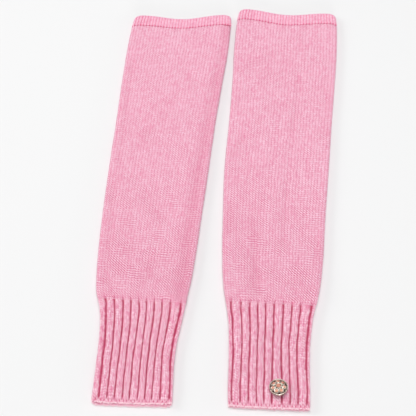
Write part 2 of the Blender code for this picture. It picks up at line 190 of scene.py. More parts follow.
def stretch(tree, vector, scale):
    node = addNode(tree, "ShaderNodeVectorMath", {"operation": "MULTIPLY"})
    plug(tree, vector, node.inputs[0])
    plug(tree, scale, node.inputs[1])
    return node.outputs[0]


def noise(tree, place, scale, detail, roughness=0.5, dimensions="3D"):
    node = addNode(
        tree, "ShaderNodeTexNoise", {"noise_dimensions": dimensions},
        Vector=place, Scale=scale, Detail=detail, Roughness=roughness,
    )
    return node.outputs["Fac"]


def whiteNoise(tree, dimensions, **place):
    node = addNode(tree, "ShaderNodeTexWhiteNoise", {"noise_dimensions": dimensions}, **place)
    return node.outputs["Value"]


def objectPlace(tree):
    return addNode(tree, "ShaderNodeTexCoord").outputs["Object"]


def addBump(tree, shader, height, strength, distance):
    bump = addNode(tree, "ShaderNodeBump", Height=height, Strength=strength, Distance=distance)
    plug(tree, bump.outputs["Normal"], shader.inputs["Normal"])


# Mottled wool yarn on its stitches: one unit across is a wale, and one unit up is a course. Scales
# are in waves a metre, and a range is where a soft step begins and where it ends.
yarnSettings = {
    "beadRange": (0.5, 1.35),
    "betweenWales": (0.62, 1.0),
    "openness": 0.9,
    "looseOpenness": 1.05,
    "leastOpen": 0.15,
    "spreadOpenness": 0.9,
    "chanceOpenness": 0.8,
    "spreadScale": 75.0,
    "spreadRange": (0.36, 0.64),
    "driftScale": 110.0,
    "legRise": 0.85,
    "driftRise": 0.9,
    "waleRise": 0.36,
    "tiltScale": 48.0,
    "tiltRange": (0.34, 0.6),
    "slantedWave": 0.85,
    "levelWave": 0.52,
    "waveRange": (-0.1, 0.8),
    "fleckTint": 2.4,
    "patchScale": 150.0,
    "paleShare": 0.45,
    "twists": (26.0, 9.0),
    "twistHeight": 0.12,
    "fibreScale": 2600.0,
    "fibreHeight": 0.9,
    "beadHeight": -0.7,
}


def makeYarnGroup():
    given = yarnSettings
    tree = bpy.data.node_groups.new("yarn", "ShaderNodeTree")
    sockets = {
        "NodeSocketVector": "Stitch Place Fleck",
        "NodeSocketColor": "Yarn Pale Deep",
        "NodeSocketFloat": "Sunk Loose Mottle Gaps Wales Holes Crests Courses Clouds Chance",
    }
    for kind, names in sockets.items():
        for name in names.split():
            tree.interface.new_socket(name, in_out="INPUT", socket_type=kind)
    tree.interface.new_socket("Color", in_out="OUTPUT", socket_type="NodeSocketColor")
    tree.interface.new_socket("Height", in_out="OUTPUT", socket_type="NodeSocketFloat")
    inputs = tree.nodes.new("NodeGroupInput").outputs
    result = tree.nodes.new("NodeGroupOutput").inputs
    place = inputs["Place"]

    def plus(first, second, clamp=False):
        return calculate(tree, "ADD", first, second, clamp)

    def times(first, second):
        return calculate(tree, "MULTIPLY", first, second)

    def whole(value):
        return calculate(tree, "FLOOR", value)

    # From -1 to 1 in every unit
    def centred(value):
        return addUp(tree, -1.0, (calculate(tree, "FRACT", value), 2.0))

    def waveOf(value):
        return calculate(tree, "COSINE", times(value, math.tau))

    # Each stitch is two legs, and each leg is a bead that runs up a course
    parts = addNode(tree, "ShaderNodeSeparateXYZ", Vector=inputs["Stitch"]).outputs
    halves = times(parts["X"], 2.0)
    legAcross, legUp = centred(halves), centred(parts["Y"])
    bead = plus(times(legAcross, legAcross), times(times(legUp, legUp), inputs["Courses"]))
    leg = addNode(tree, "ShaderNodeCombineXYZ", X=whole(halves), Y=whole(parts["Y"])).outputs[0]
    chance = whiteNoise(tree, "2D", Vector=leg)
    spread = softRange(tree, noise(tree, place, given["spreadScale"], 2.0), *given["spreadRange"])
    openness = times(
        addUp(tree, given["openness"], (inputs["Loose"], given["looseOpenness"])),
        addUp(
            tree, given["leastOpen"],
            (spread, given["spreadOpenness"]), (chance, given["chanceOpenness"]),
        ),
    )
    # Painted shade between the legs and between the wales, mixed toward the deep colour
    inWale = calculate(tree, "ABSOLUTE", centred(parts["X"]))
    between = softRange(tree, inWale, *given["betweenWales"])
    gapShade = times(softRange(tree, bead, *given["beadRange"]), inputs["Gaps"])
    gapShade = calculate(tree, "MAXIMUM", gapShade, times(between, inputs["Wales"]))

    # Holes and crests lie in turn on slanted lines, because every leg slants over its neighbour
    drift = noise(tree, place, given["driftScale"], 3.0)
    shift = whiteNoise(tree, "1D", W=whole(parts["X"]))
    levelUp = addUp(
        tree, parts["Y"], (inWale, given["legRise"], 0.5),
        (drift, given["driftRise"], 0.5), (shift, given["waleRise"], 0.5),
    )
    tilt = softRange(tree, noise(tree, place, given["tiltScale"], 1.0), *given["tiltRange"])
    wave = addUp(
        tree, 0.0, (times(waveOf(plus(parts["X"], levelUp)), tilt), given["slantedWave"]),
        (times(waveOf(levelUp), calculate(tree, "SUBTRACT", 1.0, tilt)), given["levelWave"]),
    )
    # Painted shade in the holes between the legs
    holes = times(softRange(tree, wave, *given["waveRange"]), inputs["Holes"])
    gapShade = plus(gapShade, times(holes, openness), clamp=True)
    # A painted highlight on the crests, mixed toward the pale colour
    crests = softRange(tree, times(wave, -1.0), *given["waveRange"])
    crests = times(crests, times(inputs["Crests"], openness))

    flecks = noise(tree, stretch(tree, inputs["Stitch"], inputs["Fleck"]), 1.0, 3.0, 0.7, "2D")
    clouds = noise(tree, place, given["patchScale"], 4.0, 0.6)
    tint = addUp(
        tree, 0.0, (chance, inputs["Chance"], 0.5), (flecks, given["fleckTint"], 0.5),
        (clouds, inputs["Clouds"], 0.5),
    )
    tint = plus(plus(times(tint, inputs["Mottle"]), crests), given["paleShare"], clamp=True)
    surface = mixColours(tree, tint, inputs["Yarn"], inputs["Pale"])
    # Painted shade from the gaps, the holes and the mesh's shade marks, all mixed toward the deep
    # colour
    surface = mixColours(tree, gapShade, surface, inputs["Deep"])
    surface = mixColours(tree, inputs["Sunk"], surface, inputs["Deep"])
    plug(tree, surface, result["Color"])

    # Two plies twisted round each other, and loose fibres over them
    across, up = given["twists"]
    twist = addUp(tree, 0.0, (parts["X"], across), (parts["Y"], up))
    height = addUp(
        tree, 0.0, (calculate(tree, "SINE", twist), given["twistHeight"]),
        (noise(tree, place, given["fibreScale"], 2.0, 0.7), given["fibreHeight"], 0.5),
        (bead, given["beadHeight"]),
    )
    plug(tree, height, result["Height"])
    return tree


yarnGroup = makeYarnGroup()

# For each kind of knit, deep is the colour of painted shade, and pale takes the flecks and the
# painted highlights
knitSettings = {
    "finish": {
        "Roughness": 0.95, "Specular IOR Level": 0.15,
        "Sheen Weight": 0.2, "Sheen Roughness": 0.6, "Sheen Tint": (1.0, 0.8, 0.88, 1.0),
    },
    "bump": (0.7, 0.00022),
    # gaps, wales and holes set how strong the painted shade is, and crests how strong the painted
    # highlight is
    "kinds": {
        "rib": {
            "yarn": (0.82, 0.29, 0.44, 1.0), "pale": (0.96, 0.68, 0.785, 1.0),
            "deep": (0.54, 0.045, 0.13, 1.0), "fleck": (2.6, 0.42, 1.0), "mottle": 1.2,
            "clouds": 0.1, "chance": 0.5, "gaps": 0.4, "wales": 0.3, "holes": 0.2,
            "crests": 0.16, "courses": 0.3,
        },
        "plain": {
            "yarn": (0.81, 0.30, 0.445, 1.0), "pale": (0.96, 0.665, 0.78, 1.0),
            "deep": (0.66, 0.11, 0.235, 1.0), "fleck": (6.0, 2.6, 1.0), "mottle": 0.95,
            "clouds": 0.7, "chance": 0.55, "gaps": 0.2, "wales": 0.4, "holes": 0.36,
            "crests": 0.25, "courses": 0.2,
        },
        "hem": {
            "yarn": (0.81, 0.29, 0.44, 1.0), "pale": (0.96, 0.67, 0.79, 1.0),
            "deep": (0.78, 0.06, 0.22, 1.0), "fleck": (5.0, 0.9, 1.0), "mottle": 0.8,
            "clouds": 0.5, "chance": 0.5, "gaps": 0.1, "wales": 0.5, "holes": 0.3,
            "crests": 0.3, "courses": 0.2,
        },
    },
}


def makeKnitMaterial(name, values):
    material, tree, shader = newMaterial(name, knitSettings["finish"])
    yarn = addNode(tree, "ShaderNodeGroup", {"node_tree": yarnGroup}, Place=objectPlace(tree))
    stitches = addNode(tree, "ShaderNodeUVMap", {"uv_map": "stitches"}).outputs["UV"]
    plug(tree, stitches, yarn.inputs["Stitch"])
    for attribute in ("sunk", "loose"):
        found = addNode(tree, "ShaderNodeAttribute", {"attribute_name": attribute})
        plug(tree, found.outputs["Fac"], yarn.inputs[attribute.capitalize()])
    setValues(yarn, {key.capitalize(): value for key, value in values.items()})
    plug(tree, yarn.outputs["Color"], shader.inputs["Base Color"])
    addBump(tree, shader, yarn.outputs["Height"], *knitSettings["bump"])
    return material


knitMaterials = {
    kind: makeKnitMaterial(kind + "Knit", values) for kind, values in knitSettings["kinds"].items()
}

# Yarn seen by itself, in a sewn or linked stitch: its darkest and its lightest colour
strandSettings = {
    "finish": {"Roughness": 0.92, "Sheen Weight": 0.2, "Sheen Roughness": 0.6},
    "bump": (0.6, 0.00012),
    "patchScale": 900.0,
    "patchRange": (0.3, 0.7),
    "twistScale": 420.0,
    "colours": {
        "linkYarn": ((0.80, 0.28, 0.42, 1.0), (0.93, 0.60, 0.70, 1.0)),
        # The cast-on loops' yarn is paler than the knit: painted light on the front-facing edge
        "litEdgeYarn": ((0.88, 0.50, 0.60, 1.0), (0.97, 0.80, 0.83, 1.0)),
    },
}


def makeStrandMaterial(name, dark, light):
    given = strandSettings
    material, tree, shader = newMaterial(name, given["finish"])
    place = objectPlace(tree)
    share = softRange(tree, noise(tree, place, given["patchScale"], 3.0, 0.7), *given["patchRange"])
    plug(tree, mixColours(tree, share, dark, light), shader.inputs["Base Color"])
    twist = addNode(
        tree, "ShaderNodeTexWave", {"wave_type": "BANDS", "bands_direction": "DIAGONAL"},
        Vector=place, Scale=given["twistScale"], Distortion=2.0, Detail=1.0,
    )
    addBump(tree, shader, twist.outputs["Fac"], *given["bump"])
    return material


strandMaterials = {
    name: makeStrandMaterial(name, *pair) for name, pair in strandSettings["colours"].items()
}
print("yarn made")

# A row for each cross-section of a tube, in mm: along, half width, drift, slant, dip, corner,
# middle, fold. A row for each swell: along, across, reach along, reach across, rise. A row of
# grooves for each of four heights: their places between the folds, in thousandths of the girth.
# grooveWidths is how wide each is drawn. A row for each crease: start along, start across, end
# along, end across, reach, depth.
warmers = {
    "left": {
        "foot": (-88.788, -241.895), "lean": 4.5, "backReach": 1.6, "seed": 11,
        "sections": [
            (0, 36.2, -0.3, 1.7, 0.3, -2.6, 4.6, 5.2), (18, 35.9, -0.8, 0.8, 0, 0, 5.9, 6.4),
            (40, 35.7, -1.6, 0.6, 0, 0, 6, 6.5), (60, 36.3, -1.7, 0.5, 0, 0, 6, 6.5),
            (80, 38.3, -1.6, 0.4, 0, 0, 6, 6.5), (94, 40.3, -2.1, 0.4, 0, 0, 6, 6.5),
            (102, 42.2, -3.1, 0.4, 0, 0, 6, 6.6), (111, 43.8, -4, 0.4, 0, 0, 6.3, 7),
            (126, 45.7, -4.1, 0.4, 0, 0, 6.2, 7), (153, 47.7, -4.3, 0.5, 0, 0, 5.7, 6.6),
            (203, 49.9, -4.4, 0.7, 0, 0, 5.3, 6.2), (260, 51.8, -3.8, 1, 0, 0, 5.1, 6),
            (320, 53.3, -3, 1.6, 0.3, 0, 5, 5.8), (380, 55.7, -1.7, 2.6, 1.4, 0, 5, 5.8),
            (430, 57.4, -0.2, 4, 3.4, 0.4, 4.9, 5.6), (465.8, 57.1, 0.5, 5.2, 4.9, 1.6, 4.9, 5.5),
            (481.6, 56, 0.8, 4.9, 6.2, 4, 4.9, 5.3),
        ],
        "swells": [
            (150, -22, 34, 13, 0.5), (196, 14, 52, 15, -0.4),
            (262, -18, 60, 12, -0.35), (318, 24, 66, 13, 0.55),
            (372, -28, 48, 13, 0.45), (424, 6, 38, 20, -0.3),
        ],
        "grooves": [
            (12, (-262, -195, -148, -103, -58, -15, 32, 75, 117, 165, 222, 266)),
            (51, (-262, -198, -148, -103, -58, -15, 32, 75, 117, 160, 212, 266)),
            (92, (-262, -203, -153, -105, -60, -15, 27, 70, 115, 160, 217, 266)),
            (102, (-258, -195, -147, -100, -57, -14, 26, 68, 111, 155, 210, 262)),
        ],
        "grooveWidths": (1, 1.2, 1, 1.1, 0.95, 1.05, 0.9, 1.1, 0.9, 1.05, 1.7, 1.4),
        "creases": [
            (112, 37, 190, 39, 7, 0.9), (190, 39, 290, 43.5, 7, 0.95),
            (290, 43.5, 400, 50, 6.5, 0.9), (400, 50, 470, 54, 5.5, 0.85),
            (120, -36, 232, -43, 3.6, 0.45), (262, -42.5, 405, -48, 3.2, 0.4),
            (128, 2, 146, 8, 5.5, 0.5), (154, -20, 166, -14, 6.5, 0.3),
            (196, 10, 222, -8, 7, 0.3), (292, -24, 334, -3, 6.5, 0.3),
            (378, 26, 398, 14, 6, 0.25),
        ],
    },
    "right": {
        "foot": (33.412, -246.295), "lean": 4.5, "backReach": 0.3, "seed": 23,
        "sections": [
            (0, 36.5, -0.5, 1.1, 0, -1, 4.6, 5.2), (18, 36.9, -1.2, 1, 0, 0, 5.9, 6.4),
            (40, 36.9, -2, 0.9, 0, 0, 6, 6.5), (60, 37.5, -2.6, 0.9, 0, 0, 6, 6.5),
            (80, 38.9, -2.7, 0.9, 0, 0, 6, 6.5), (94, 40.7, -3.1, 0.8, 0, 0, 6, 6.5),
            (103.4, 42.7, -3.2, 0.8, 0, 0, 6, 6.6), (112, 44.4, -3.2, 0.7, 0, 0, 6.3, 7),
            (127, 46.7, -3.4, 0.6, 0, 0, 6.2, 7), (154, 49.1, -3.5, 0.5, 0, 0, 5.7, 6.6),
            (204, 51.4, -4.1, 0.4, 0, 0, 5.3, 6.2), (260, 53.9, -3.8, 0.3, 0, 0, 5.1, 6),
            (320, 54.9, -2.2, 0.2, 0.3, 0, 5, 5.8), (380, 56.55, -0.65, 0.1, 1.6, 0, 5, 5.8),
            (432, 58.2, -0.1, 0, 3.6, 0.6, 4.9, 5.6), (476, 57.8, 0.2, 0, 5.3, 2.2, 4.9, 5.5),
            (492.2, 56.5, 0.3, 0, 5.7, 5, 4.9, 5.3),
        ],
        "swells": [
            (146, 20, 32, 14, 0.5), (190, -16, 56, 13, -0.4),
            (250, 22, 62, 12, -0.35), (306, -20, 58, 15, 0.5),
            (380, 26, 54, 13, 0.45), (438, -8, 36, 22, -0.3),
        ],
        "grooves": [
            (16, (-266, -218, -168, -120, -73, -30, 15, 75, 122, 167, 222, 266)),
            (55, (-266, -211, -161, -116, -70, -28, 20, 68, 115, 160, 216, 266)),
            (96, (-266, -218, -163, -115, -70, -28, 20, 70, 115, 162, 222, 266)),
            (103.4, (-262, -211, -158, -111, -68, -27, 19, 68, 112, 157, 216, 262)),
        ],
        "grooveWidths": (1, 1.15, 0.95, 1.1, 0.9, 1, 1.15, 1.1, 0.9, 1.1, 1.6, 1.4),
        "creases": [
            (392, 16, 270, 12.5, 3.4, 0.35), (270, 12.5, 172, 9.5, 3.8, 0.42),
            (204, -20.5, 165, -18, 5, 0.35), (165, -18, 114, -14, 5, 0.7),
            (404, -42, 431, -10, 7, 0.35), (418, -15, 382, -22, 8, 0.3),
            (276, -47, 302, -38, 5, 0.55), (182, -45, 214, -45, 5, 0.45),
            (262, -24, 270, 10, 5, 0.25), (372, 47, 310, 48, 5.5, 0.35),
            (150, 46, 176, 44, 5, 0.3), (118, 22, 138, 30, 6, 0.25),
        ],
    },
}

layShape = {
    "foldReach": 24.0,
    "edgeCalm": 8.0,
    "swellSpread": 1.6,
    "rimShoulder": 0.8,
    "cornerStart": 0.84,
    "restShare": 0.98,
    "joinRow": 6,
    "seamRow": -2,
    "ribs": 22,
    "backReachFade": 14.0,
    "calmCourses": 1.2,
    "edgeAngles": (30.0, 60.0, 90.0, 120.0, 150.0),
}


def softStep(value):
    value = np.clip(value, 0.0, 1.0)
    return value * value * (3.0 - 2.0 * value)


def bell(value):
    return np.exp(-value ** 2)


def wrapped(share):
    return (share + 0.5) % 1.0 - 0.5


# The sections at these distances up a tube, on smooth curves through the table's rows. Rows of
# points up a tube are columns of numbers here, and places round it are plain rows.
def sectionAt(warmer, along):
    along = np.ravel(along).astype(float)
    table = np.array(warmer["sections"])
    rises = np.diff(table, axis=0) / np.diff(table[:, :1], axis=0)
    slopes = 0.5 * (np.vstack([rises[:1], rises]) + np.vstack([rises, rises[-1:]]))
    low = np.clip(np.searchsorted(table[:, 0], along) - 1, 0, len(rises) - 1)
    span = np.diff(table[:, 0])[low][:, None]
    share = (along - table[low, 0])[:, None] / span
    curve = table[low] + (table[low + 1] - table[low]) * softStep(share)
    bend = (1.0 - share) * slopes[low] - share * slopes[low + 1]
    curve += span * share * (1.0 - share) * bend
    names = ("along", "halfWidth", "drift", "slant", "dip", "corner", "middle", "fold")
    section = {name: curve[:, [index]] for index, name in enumerate(names)}
    section["along"] = along[:, None]
    return section


def halfGirth(section):
    radius = section["fold"] / 2
    return 2 * (section["halfWidth"] - radius) + math.pi * radius


# Ways round a tube in mm, from shares of its girth
def wayRound(share, section):
    return share * 2 * halfGirth(section)


def topHeight(warmer, section, across):
    flat = section["halfWidth"] - section["fold"] / 2
    reach, calm = layShape["foldReach"], layShape["edgeCalm"]
    fullness = softStep((np.abs(across) - (flat - reach)) / reach)
    inward = 1.0 - softStep((np.abs(across) - (flat - calm)) / calm)
    swell = 0.0
    for along, middle, reachAlong, reachAcross, rise in warmer["swells"]:
        far = np.hypot((section["along"] - along) / reachAlong, (across - middle) / reachAcross)
        swell = swell + rise * (1.0 - softStep(far / layShape["swellSpread"]))
    return section["middle"] + (section["fold"] - section["middle"]) * fullness + swell * inward


# 0 on the top layer and 1 on the back layer, changing round the fold
def undersideShare(section, way):
    radius = section["fold"] / 2
    return softStep((np.abs(way) - (section["halfWidth"] - radius)) / (math.pi * radius))


# Nothing stands out below the part of a tube that rests on the surface
def restFlat(rise, underside):
    return np.where(underside > layShape["restShare"], np.minimum(rise, 0.0), rise)


# Points of a tube's wall as it lies, in metres. way is how far round from the top's middle, rise
# how far out from the wall's face, and push how far up the tube it is moved, all in mm.
def layPoints(warmer, section, way, rise, push=0.0, backReach=0.0):
    radius = section["fold"] / 2
    flat = section["halfWidth"] - radius
    side = np.where(way >= 0, 1.0, -1.0)
    distance = np.abs(way)
    angle = np.clip((distance - flat) / radius, 0.0, math.pi)
    onTop = distance <= flat
    onBack = distance >= flat + math.pi * radius
    backAcross = side * (2 * flat + math.pi * radius - distance)
    across = side * (flat + (radius + rise) * np.sin(angle))
    across = np.where(onTop, way, np.where(onBack, backAcross, across))
    up = radius + (radius + rise) * np.cos(angle)
    up = np.where(onTop, topHeight(warmer, section, way) + rise, np.where(onBack, -rise, up))
    up = np.maximum(up, 0.0)

    share = across / section["halfWidth"]
    shoulder = layShape["rimShoulder"]
    dip = 0.5 * (1 + np.cos(math.pi * share / shoulder))
    dip = np.where(np.abs(share) < shoulder, dip, 0.0)
    corner = np.maximum(np.abs(share) - layShape["cornerStart"], 0.0)
    corner = corner / (1 - layShape["cornerStart"])
    shift = section["slant"] * share - section["dip"] * dip - section["corner"] * corner ** 2
    along = section["along"] + shift + push - backReach * undersideShare(section, way)
    across = across + section["drift"]
    lean = math.radians(warmer["lean"])
    x = warmer["foot"][0] + along * math.sin(lean) + across * math.cos(lean)
    y = warmer["foot"][1] + along * math.cos(lean) - across * math.sin(lean)
    return np.stack(np.broadcast_arrays(x, y, up), axis=-1) * mm


# How deep the soft creases are at points of a tube
def creaseDepth(warmer, along, way):
    deepest = np.zeros(np.broadcast(along, way).shape)
    for startAlong, startAcross, endAlong, endAcross, reach, depth in warmer["creases"]:
        runAlong, runAcross = endAlong - startAlong, endAcross - startAcross
        reached = (along - startAlong) * runAlong + (way - startAcross) * runAcross
        share = np.clip(reached / (runAlong ** 2 + runAcross ** 2), 0.0, 1.0)
        farAlong = along - startAlong - share * runAlong
        farAcross = way - startAcross - share * runAcross
        deepest = np.maximum(deepest, depth * bell(np.hypot(farAlong, farAcross) / reach))
    return deepest


# A smooth unevenness between about -1 and 1 in waves of this size in mm, the same each run
def unevenness(x, y, size, seed):
    chance = np.random.default_rng(seed)
    total = 0.0
    for _ in range(9):
        angle = chance.uniform(0.0, math.tau)
        scale = chance.uniform(0.5, 1.5) / size
        phase = chance.uniform(0.0, math.tau)
        reached = x * math.cos(angle) + y * math.sin(angle)
        total = total + np.sin(math.tau * scale * reached + phase)
    return total / 3.0


def addPiece(name, mesh, material):
    mesh.materials.append(material)
    piece = bpy.data.objects.new(name, mesh)
    scene.collection.objects.link(piece)
    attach(piece, "root")
    return piece


# A sheet of squares rolled up both ways into the closed wall of a tube. Each part of its points has
# a row for each ring and a column for each place round it, and each mark has a value for each part.
# There is one more of acrossUnits than places, and of upUnits than rings.
def rollWall(name, parts, marks, acrossUnits, upUnits, material):
    points = np.concatenate(parts)
    upUnits = np.concatenate([np.ravel(units) for units in upUnits])
    rings, places = points.shape[:2]
    build = bmesh.new()
    bmesh.ops.create_grid(build, x_segments=places, y_segments=rings, size=0.5)
    mesh = meshOf(build, name)
    flat = np.empty(len(mesh.vertices) * 3)
    mesh.vertices.foreach_get("co", flat)
    flat = flat.reshape(-1, 3)
    place = np.rint((flat[:, 0] + 0.5) * places).astype(int)
    ring = np.rint((flat[:, 1] + 0.5) * rings).astype(int)
    mesh.vertices.foreach_set("co", points[ring % rings, place % places].ravel())
    layer = mesh.uv_layers.new(name="stitches")
    corners = np.empty(len(mesh.loops), int)
    mesh.loops.foreach_get("vertex_index", corners)
    stitches = np.stack([acrossUnits[place[corners]], upUnits[ring[corners]]], axis=-1)
    layer.uv.foreach_set("vector", stitches.ravel())
    for key, values in marks.items():
        values = [np.broadcast_to(value, part.shape[:2]) for value, part in zip(values, parts)]
        values = np.clip(np.concatenate(values), 0.0, 1.0)[ring % rings, place % places]
        values = values.astype(np.float32)
        mesh.attributes.new(key, "FLOAT", "POINT").data.foreach_set("value", values)
    edge = np.flatnonzero((place == 0) | (place == places) | (ring == 0) | (ring == rings))

    build = bmesh.new()
    build.from_mesh(mesh)
    build.verts.ensure_lookup_table()
    bmesh.ops.remove_doubles(build, verts=[build.verts[index] for index in edge], dist=1e-7)
    bmesh.ops.recalc_face_normals(build, faces=build.faces)
    build.to_mesh(mesh)
    build.free()
    mesh.shade_smooth()
    return addPiece(name, mesh, material)


def joinHeight(warmer):
    return warmer["sections"][layShape["joinRow"]][0]


def seamHeight(warmer):
    return warmer["sections"][layShape["seamRow"]][0]


# The place of the first groove where the body starts, as a share of the girth
def firstGroove(warmer):
    return warmer["grooves"][-1][1][0] / 1000


# The grooves' places round the tube at these distances up it, one row each, and the first again
def grooveShares(warmer, along):
    heights = [height for height, _ in warmer["grooves"]]
    front = np.array([places for _, places in warmer["grooves"]]) / 1000
    front = np.stack([np.interp(np.ravel(along), heights, column) for column in front.T], axis=1)
    backCount = layShape["ribs"] - front.shape[1] + 1
    pitch = (1.0 + front[:, :1] - front[:, -1:]) / backCount
    return np.concatenate([front, front[:, -1:] + pitch * np.arange(1, backCount + 1)], axis=1)


# Places round a tube of plain knit: wales from the left fold, and shares of the girth
def walePlaces(warmer, given):
    first = firstGroove(warmer)
    units = []
    for wale in range(given["wales"]):
        fine = abs(wrapped(first + (wale + 0.5) / given["wales"])) < given["fineShare"]
        units += [wale + at for at in (given["inWale"] if fine else given["inWale"][:1])]
    units = np.array(units)
    return units, wrapped(first + units / given["wales"])


# Rows of points up a tube: in courses, and in mm
def courseRows(start, end, courses, given):
    rows = [course + at for course in range(courses) for at in given["inCourse"]]
    units = np.array(rows + [courses], float)[:, None]
    return units, start + units / courses * (end - start)


def waleLifts(at, given):
    return np.interp(at, given["inWale"], given["waleLift"])


def courseLifts(units, given):
    return np.interp(units % 1.0, given["inCourse"], given["courseLift"])


# 0 at a tube's first and last course, and 1 a little further in
def inFromEnds(units, courses):
    return softStep(np.minimum(units, courses - units) / layShape["calmCourses"])


def isFine(share, given):
    return np.where(np.abs(share) < given["fineShare"], 1.0, 0.0)


# How far a wall rounds off this far from its seam
def seamRound(distance, given):
    return given["seamRounding"] * (1 - softStep(distance / given["seamRoundingLength"]))


# The painted shade in the seam is darkest where two wales meet
def seamKnots(at, given):
    return given["knotShare"] + (1 - given["knotShare"]) * np.cos(math.pi * at) ** 2


def stitchLuck(seed, courses, legs, units, leg):
    luck = np.random.default_rng(seed).normal(0.0, 1.0, (courses + 1, legs))
    return luck[np.floor(units).astype(int), leg % legs]


def wander(amount, way, along, seed):
    reach, size = amount
    return reach * unevenness(way, along, size, seed)


# The inner face of a wall, from its upper end down
def innerRows(start, end, courses, given):
    shares = np.array(given["innerShares"])[:, None]
    return courses + 1.0 + (1 - shares) * courses, start + shares * (end - start)


# Small beads of yarn, one for each place: (place, way that it points, way out, sizes in mm)
def addBeads(name, beads, material):
    build = bmesh.new()
    for place, way, out, size in beads:
        way = way.normalized()
        across = out.cross(way).normalized()
        axes = (way * size[0] * mm, across * size[1] * mm, way.cross(across) * size[2] * mm)
        spot = Matrix(axes).transposed().to_4x4()
        spot.translation = place
        bmesh.ops.create_uvsphere(build, u_segments=8, v_segments=6, radius=1.0, matrix=spot)
    bmesh.ops.recalc_face_normals(build, faces=build.faces)
    mesh = meshOf(build, name)
    mesh.shade_smooth()
    return addPiece(name, mesh, material)


# The place, the way round and the way out at points of a laid tube
def spotsOn(warmer, section, way, rise, push=0.0, backReach=0.0):
    here, around, out = [
        layPoints(warmer, section, way + turn, rise + lift, push, backReach).reshape(-1, 3)
        for turn, lift in ((0.0, 0.0), (0.2, 0.0), (0.0, 0.2))
    ]
    return [
        (Vector(spot), Vector(turned - spot).normalized(), Vector(raised - spot).normalized())
        for spot, turned, raised in zip(here, around, out)
    ]


# Lengths are in mm. Wander is (how far, the size of its waves).
bodySettings = {
    "wales": 70,
    "course": 2.6,
    "wall": 2.0,
    "lowered": 0.1,
    "fineShare": 0.292,
    "inWale": (0.0, 0.22, 0.5, 0.78),
    "waleLift": (-0.62, 0.14, -0.24, 0.14),
    "onLeg": (0.45, 1.0, 0.6, 1.0),
    "inCourse": (0.0, 0.32, 0.70),
    "courseLift": (-0.2, 0.05, 0.03),
    "backRelief": 0.4,
    "firmRelief": 0.5,
    "looseRelief": 0.4,
    "looseReach": 190.0,
    "legSlant": 0.85,
    "stitchUnevenness": 0.07,
    "courseWander": (0.35, 34.0),
    "waleWander": (0.25, 22.0),
    "seamRounding": 0.3,
    "seamRoundingLength": 1.4,
    "seamShade": 3.4,
    "knotShare": 0.1,
    "gatherDepth": 0.6,
    "gatherLength": 7.0,
    "gatherShade": 0.25,
    "puckerDepth": 0.65,
    "puckerHeight": 1.7,
    "puckerReach": 1.1,
    "puckerShade": 0.75,
    "grooveTurn": 0.35,
    "creaseDepth": 1.3,
    "creaseShade": 0.26,
    "creaseStart": 6.0,
    "innerShares": (1.0, 0.85, 0.65, 0.4, 0.2, 0.08, 0.0),
    "innerShade": 0.2,
}


def makeBody(side):
    warmer, given = warmers[side], bodySettings
    start, end = joinHeight(warmer) - given["lowered"], seamHeight(warmer) - given["lowered"]
    courses = round((end - start) / given["course"])
    units, along = courseRows(start, end, courses, given)
    wales, share = walePlaces(warmer, given)
    at, legs, seed = wales % 1.0, given["wales"] * 2, warmer["seed"]
    section = sectionAt(warmer, along)
    way = wayRound(share, section)
    over = along - start
    loose = 1.0 - softStep(over / given["looseReach"])

    # The legs of the stitches: each is a slanted bead that leans out from its wale's middle
    calm = isFine(share, given)
    onLeg = np.interp(at, given["inWale"], given["onLeg"])
    firmness = given["backRelief"] + (1 - given["backRelief"]) * calm
    firmness = firmness * (given["firmRelief"] + given["looseRelief"] * loose)
    relief = waleLifts(at, given) * calm + courseLifts(units, given) * onLeg * firmness
    luck = stitchLuck(seed, courses, legs, units, (wales * 2).astype(int))
    ends = inFromEnds(units, courses)
    push = given["legSlant"] * (np.abs(2 * at - 1) - 0.5) * given["course"] * calm * ends
    push = push + wander(given["courseWander"], way, along, seed + 1) * ends
    way = way + wander(given["waleWander"], way, along, seed + 2) * calm

    # The body is drawn in where the ribs' grooves end, with a small pucker at each groove and rib
    grooves = grooveShares(warmer, joinHeight(warmer))[0]
    ribUnit = np.interp((share - grooves[0]) % 1.0 + grooves[0], grooves, np.arange(len(grooves)))
    turn = math.tau * ribUnit
    gather = (0.5 + 0.5 * np.cos(turn)) ** 2 * (1 - softStep(over / given["gatherLength"]))
    pucker = (0.5 + 0.5 * np.cos(2 * turn)) ** 4
    pucker = pucker * (1 - given["grooveTurn"] + given["grooveTurn"] * np.cos(turn))
    pucker = pucker * bell((over - given["puckerHeight"]) / given["puckerReach"])
    underside = undersideShare(section, way)
    crease = creaseDepth(warmer, along, way) * (1.0 - underside)
    crease = crease * softStep(over / given["creaseStart"])
    rounding = seamRound(end - along, given)
    rise = relief + given["stitchUnevenness"] * luck * onLeg * calm
    rise = rise - rounding - given["creaseDepth"] * crease
    drawnIn = given["gatherDepth"] * gather + given["puckerDepth"] * pucker
    rise = restFlat(rise - drawnIn * (1.0 - underside), underside)
    # Painted shade in the puckers and the gathers
    sunk = (given["puckerShade"] * pucker + given["gatherShade"] * gather) * (1.0 - underside)
    # Painted shade in the creases
    sunk = sunk + given["creaseShade"] * crease
    # Painted shade in the seam where the walls round off
    sunk = sunk + given["seamShade"] * rounding * seamKnots(at, given)

    innerUnits, innerAlong = innerRows(start, end, courses, given)
    innerSection = sectionAt(warmer, innerAlong)
    parts = (
        layPoints(warmer, section, way, rise, push),
        layPoints(warmer, innerSection, wayRound(share, innerSection), -given["wall"]),
    )
    # The inner face gets an even painted shade
    marks = {"sunk": (sunk, given["innerShade"]), "loose": (loose, 0.0)}
    acrossUnits = np.append(wales, given["wales"])
    upUnits = (units, innerUnits, 2 * courses + 2.0)
    piece = rollWall(side + "Body", parts, marks, acrossUnits, upUnits, knitMaterials["plain"])
    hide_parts(side + "_body")
    low, high = 2 * halfGirth(sectionAt(warmer, (start, end))).ravel() * mm
    print(side, "body:", courses, "courses,", len(piece.data.polygons), "faces")


for side in warmers:
    makeBody(side)

